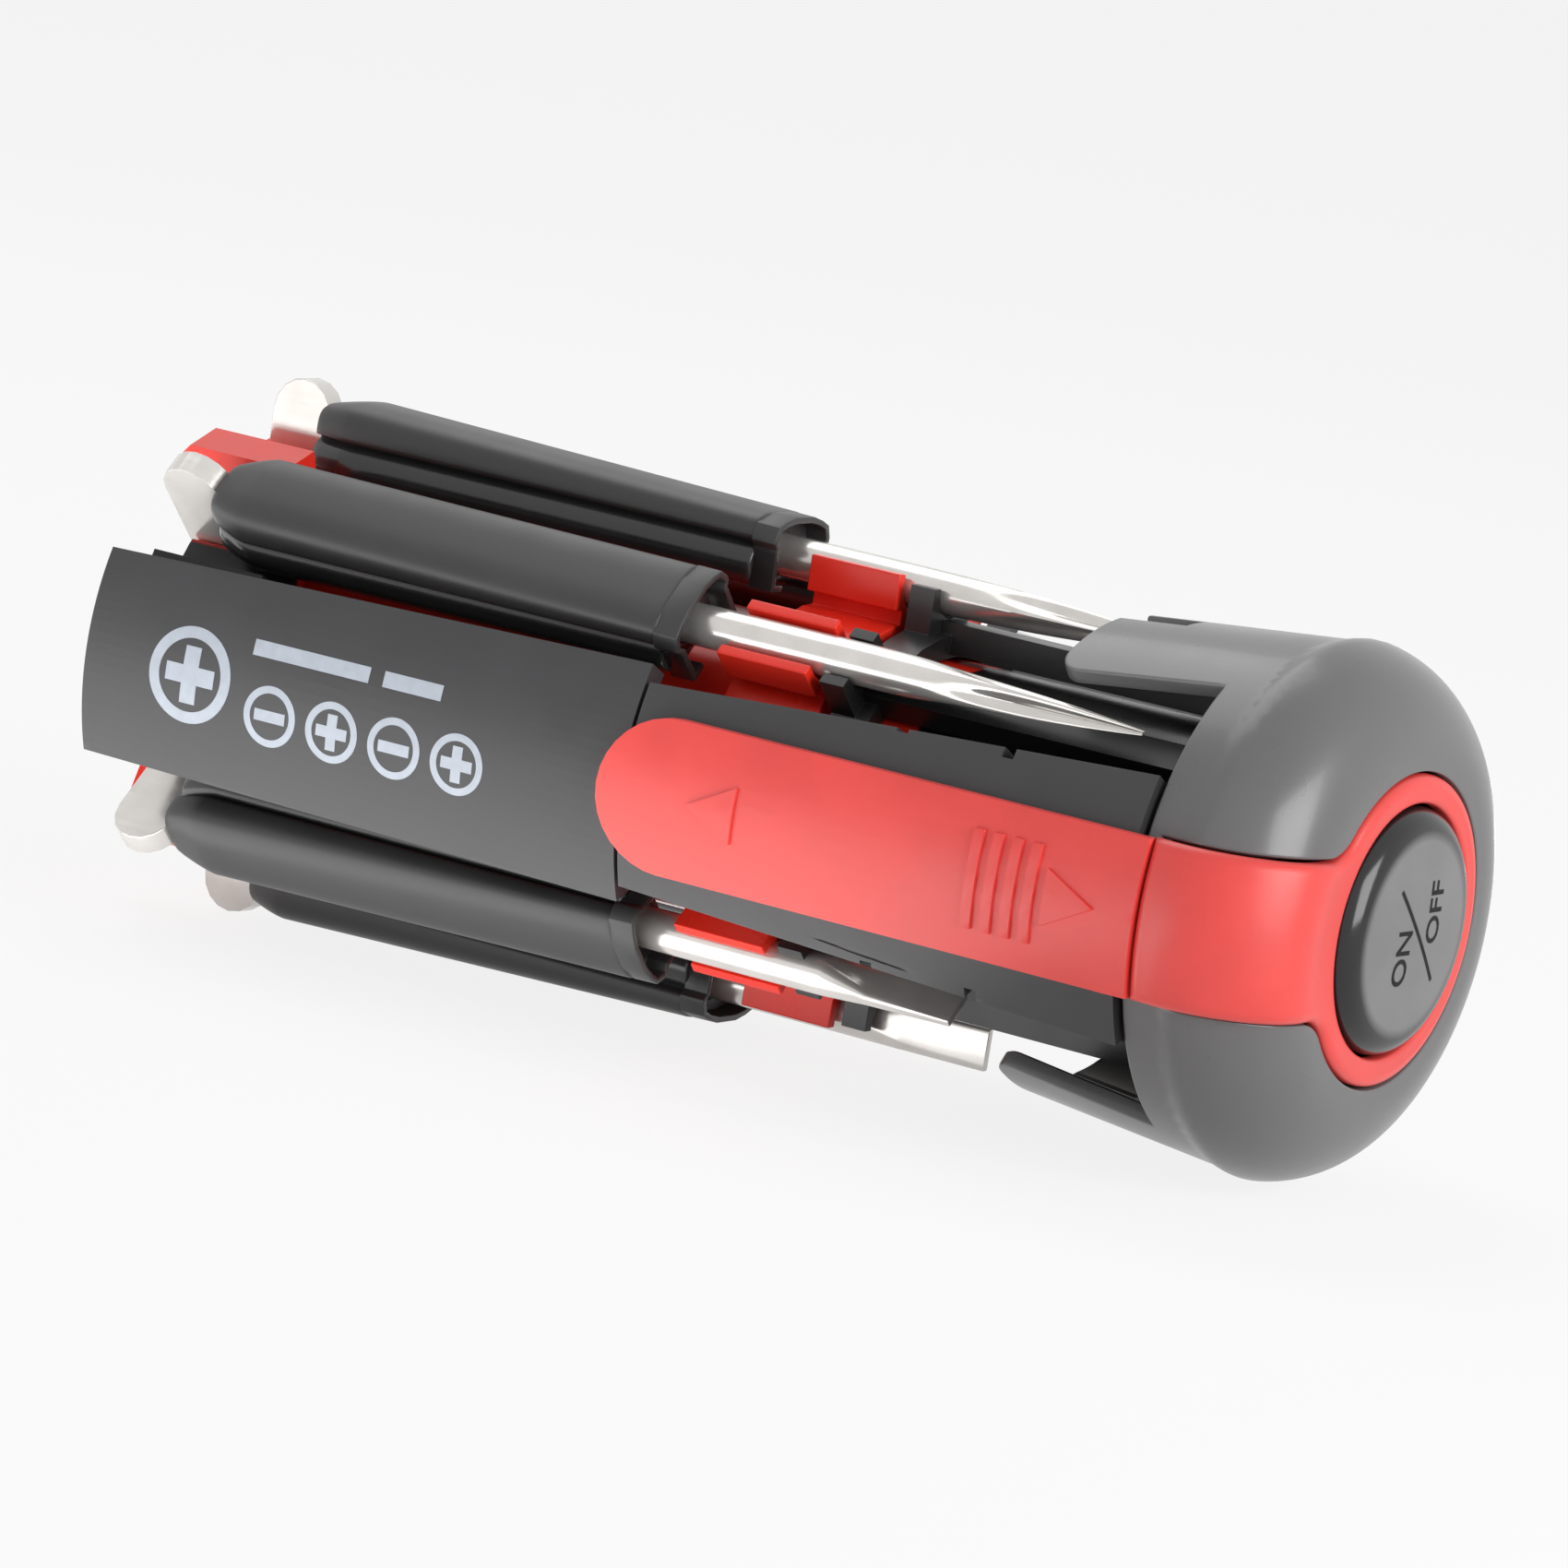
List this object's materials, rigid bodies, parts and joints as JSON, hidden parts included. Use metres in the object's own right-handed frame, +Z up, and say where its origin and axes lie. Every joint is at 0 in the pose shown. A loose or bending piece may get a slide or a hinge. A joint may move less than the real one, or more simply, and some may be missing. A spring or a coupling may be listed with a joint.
{
  "type": "multi-bit screwdriver",
  "caption": "Folding multi-bit screwdriver with a torch: six sleeved drivers fold round a battery tube, a thumb slider locks them, and a push button sits in the domed rear cap.",
  "frame": {"origin": "middle of the bounding box, on the surface that the tool lies on", "axes": "+X along the tool towards the rear cap, +Z up, side panels face -Y and +Y"},
  "size_m": [0.134, 0.0522, 0.0524],
  "materials": {
    "steel": "bright",
    "black_plastic": "satin",
    "panel_plastic": "fine grain",
    "red_plastic": "smooth",
    "core_plastic": "smooth",
    "cap_plastic": "polished",
    "window": "clear",
    "board": "satin",
    "lamp": "clear",
    "cell": "satin",
    "contact": "bright",
    "spring": "bright"
  },
  "bodies": {
    "handle": {"battery_tube": "core_plastic", "bit_rack": "black_plastic", "button_spring": "spring", "cell_1": "cell", "cell_2": "cell", "cell_3": "cell", "driver_1_pin": "steel", "driver_2_pin": "steel", "driver_3_pin": "steel", "driver_4_pin": "steel", "driver_5_pin": "steel", "driver_6_pin": "steel", "front_contact": "contact", "front_hub": "core_plastic", "lamp_board_left": "board", "lamp_board_right": "board", "lamp_left_1": "lamp", "lamp_left_2": "lamp", "lamp_left_3": "lamp", "lamp_right_1": "lamp", "lamp_right_2": "lamp", "lamp_right_3": "lamp", "lamp_window_left": "window", "lamp_window_right": "window", "rear_cap": "cap_plastic", "rear_contact": "contact", "rear_strip_left": "panel_plastic", "rear_strip_right": "panel_plastic", "side_panel_left": "panel_plastic", "side_panel_right": "panel_plastic", "switch_body": "black_plastic", "trim_bridge": "red_plastic"},
    "driver_1": {"driver_1_shank": "steel", "driver_1_sleeve": "black_plastic"},
    "driver_2": {"driver_2_shank": "steel", "driver_2_sleeve": "black_plastic"},
    "driver_3": {"driver_3_shank": "steel", "driver_3_sleeve": "black_plastic"},
    "driver_4": {"driver_4_shank": "steel", "driver_4_sleeve": "black_plastic"},
    "driver_5": {"driver_5_shank": "steel", "driver_5_sleeve": "black_plastic"},
    "driver_6": {"driver_6_shank": "steel", "driver_6_sleeve": "black_plastic"},
    "lock": {"lock_ring": "core_plastic", "slider": "red_plastic"},
    "button": {"power_button": "cap_plastic"}
  },
  "joints": [
    {"name": "driver_1_fold", "type": "hinge", "parent": "handle", "child": "driver_1", "pos_m": [-0.0589, -0.00671, 0.03332], "axis": [0, -0.7071, -0.7071], "range_deg": [0, 90]},
    {"name": "driver_2_fold", "type": "hinge", "parent": "handle", "child": "driver_2", "pos_m": [-0.0589, 0.00042, 0.03628], "axis": [0, -1, 0], "range_deg": [0, 180]},
    {"name": "driver_3_fold", "type": "hinge", "parent": "handle", "child": "driver_3", "pos_m": [-0.0589, 0.00756, 0.03332], "axis": [0, -0.7071, 0.7071], "range_deg": [0, 90]},
    {"name": "driver_4_fold", "type": "hinge", "parent": "handle", "child": "driver_4", "pos_m": [-0.0589, 0.00756, 0.01905], "axis": [0, 0.7071, 0.7071], "range_deg": [0, 90]},
    {"name": "driver_5_fold", "type": "hinge", "parent": "handle", "child": "driver_5", "pos_m": [-0.0589, 0.00042, 0.01609], "axis": [0, 1, 0], "range_deg": [0, 90]},
    {"name": "driver_6_fold", "type": "hinge", "parent": "handle", "child": "driver_6", "pos_m": [-0.0589, -0.00671, 0.01905], "axis": [0, 0.7071, -0.7071], "range_deg": [0, 90]},
    {"name": "lock_slide", "type": "slide", "parent": "handle", "child": "lock", "axis": [-1, 0, 0], "range_m": [0, 0.005]},
    {"name": "button_press", "type": "slide", "parent": "handle", "child": "button", "axis": [-1, 0, 0], "range_m": [0, 0.0015], "stiffness_N_per_m": 900, "springref_m": -0.001, "deforming": ["button_spring"]}
  ]
}
